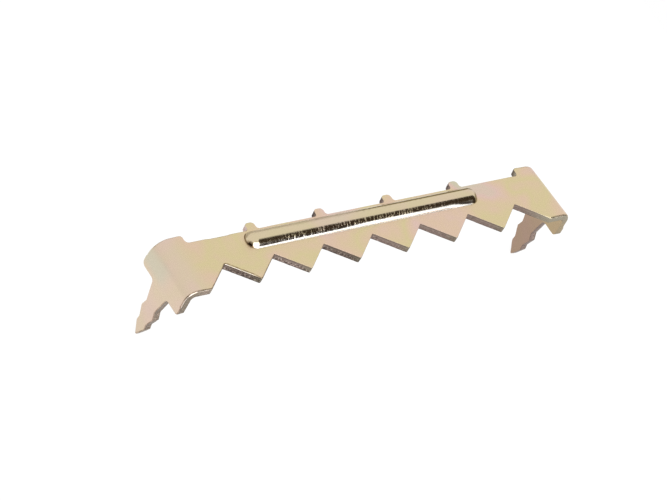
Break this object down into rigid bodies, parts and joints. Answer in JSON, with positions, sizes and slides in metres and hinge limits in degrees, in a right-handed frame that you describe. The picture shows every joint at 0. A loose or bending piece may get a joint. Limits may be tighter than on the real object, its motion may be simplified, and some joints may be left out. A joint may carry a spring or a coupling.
{
  "type": "sawtooth picture hanger",
  "caption": "Narrow steel strap with a sawtooth edge, a raised stiffening rib and bent ends whose barbed prongs drive into a frame, so that the frame hangs from a nail.",
  "frame": {"origin": "midway between the two prongs, on the plane of the shoulders that seat on the picture frame", "axes": "+X along the strap, +Z out of the frame's back through the outer face, -Y towards the toothed edge"},
  "size_m": [0.0636, 0.009, 0.0139],
  "materials": {
    "zinc_plate": "satin yellow-passivated zinc plate with soft colour variation and dull sheared edges",
    "burnished_rib": "the same plate, rubbed brighter where the rib was drawn over the die"
  },
  "bodies": {
    "root": {"strap_web": "zinc_plate", "stiffening_rib": "burnished_rib", "tooth_1": "zinc_plate", "tooth_2": "zinc_plate", "tooth_3": "zinc_plate", "tooth_4": "zinc_plate", "tooth_5": "zinc_plate", "tooth_6": "zinc_plate", "nib_1": "zinc_plate", "nib_2": "zinc_plate", "nib_3": "zinc_plate", "nib_4": "zinc_plate", "left_end_pad": "zinc_plate", "left_bend": "zinc_plate", "left_shoulder": "zinc_plate", "left_prong": "zinc_plate", "right_end_pad": "zinc_plate", "right_bend": "zinc_plate", "right_shoulder": "zinc_plate", "right_prong": "zinc_plate"}
  },
  "joints": []
}
